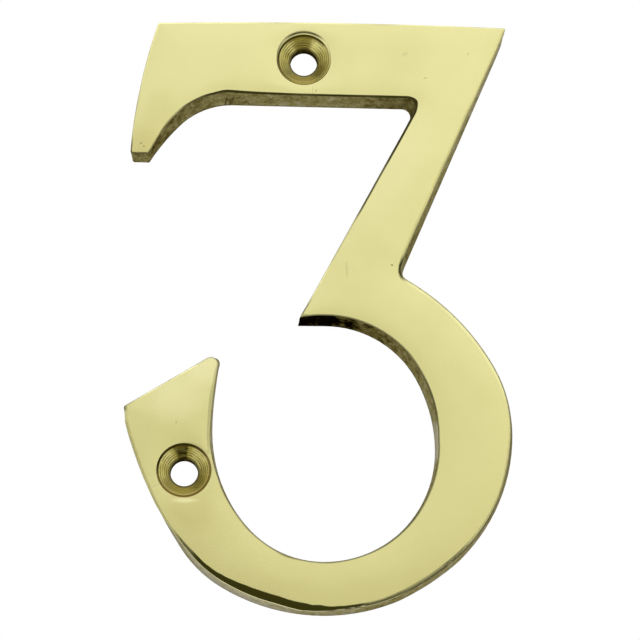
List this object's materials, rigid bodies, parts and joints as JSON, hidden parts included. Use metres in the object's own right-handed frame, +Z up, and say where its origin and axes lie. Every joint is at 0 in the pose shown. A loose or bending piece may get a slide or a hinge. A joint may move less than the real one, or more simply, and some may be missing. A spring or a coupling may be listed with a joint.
{
  "type": "door number",
  "caption": "Cast brass door numeral in the shape of the figure three, flat on the back, with countersunk holes for wood screws",
  "frame": {"origin": "middle of the upper screw hole, on the flat back that lies against the door", "axes": "+X to the right of a person facing the numeral, +Y into the door, +Z up"},
  "size_m": [0.0485, 0.003, 0.076],
  "materials": {
    "brass": "polished face with softly buffed front edge, rough as-cast walls, turned countersinks, clear lacquer"
  },
  "bodies": {
    "root": {"door_number": "brass"}
  },
  "joints": []
}
